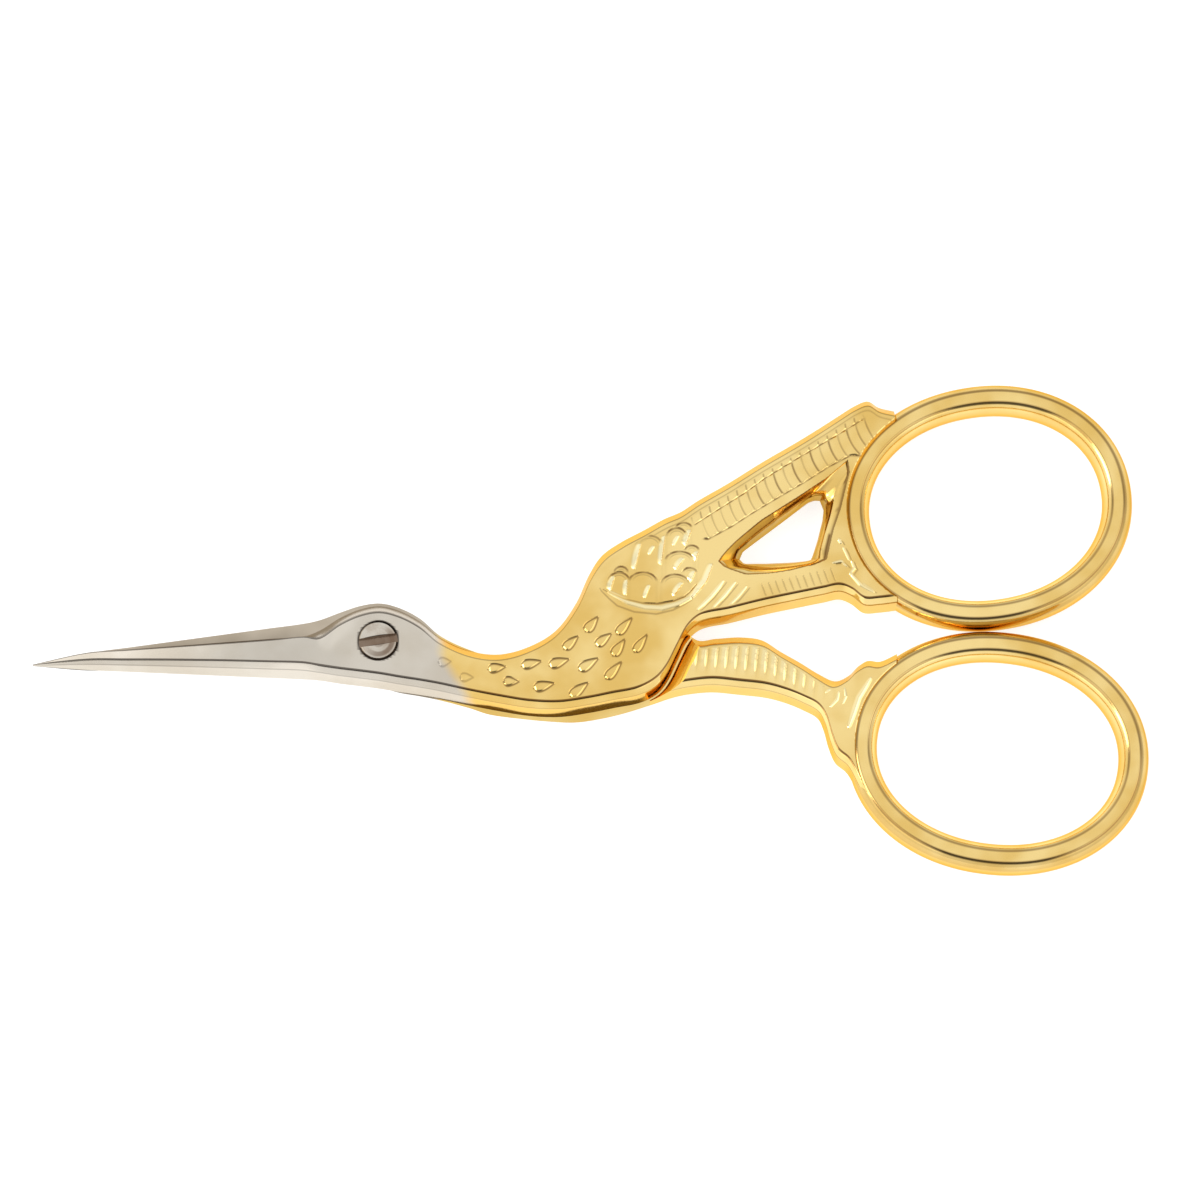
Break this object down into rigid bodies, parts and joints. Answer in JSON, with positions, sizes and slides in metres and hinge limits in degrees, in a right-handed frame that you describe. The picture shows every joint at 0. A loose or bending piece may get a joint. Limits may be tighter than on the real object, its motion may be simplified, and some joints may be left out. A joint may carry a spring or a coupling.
{
  "type": "embroidery scissors",
  "caption": "Small stork-shaped embroidery scissors: two forged halves with pointed blades and oval finger rings, crossed on a slotted pivot screw.",
  "frame": {"origin": "on the pivot axis, at the outer face of the back half, which is the plane that the closed scissors lie on", "axes": "+X from the pivot towards the finger rings, so the blades point along -X; +Z along the pivot axis towards the screw's head; +Y towards the front half's ring"},
  "size_m": [0.0889, 0.0399, 0.0039],
  "materials": {
    "front_metal": "gold-plated handle polished over a forged relief, with the blade and the flat round the pivot left in bright nickel",
    "back_metal": "gold-plated handle polished over a forged relief, with the blade and the flat round the pivot left in bright nickel",
    "screw_metal": "bright nickel plate, turned and lightly polished"
  },
  "bodies": {
    "back": {"back_half": "back_metal", "pivot_screw": "screw_metal"},
    "front": {"front_half": "front_metal"}
  },
  "joints": [
    {"name": "pivot", "type": "hinge", "parent": "back", "child": "front", "pos_m": [0, 0, 0.0019], "axis": [0, 0, 1], "range_deg": [0, 60]}
  ]
}
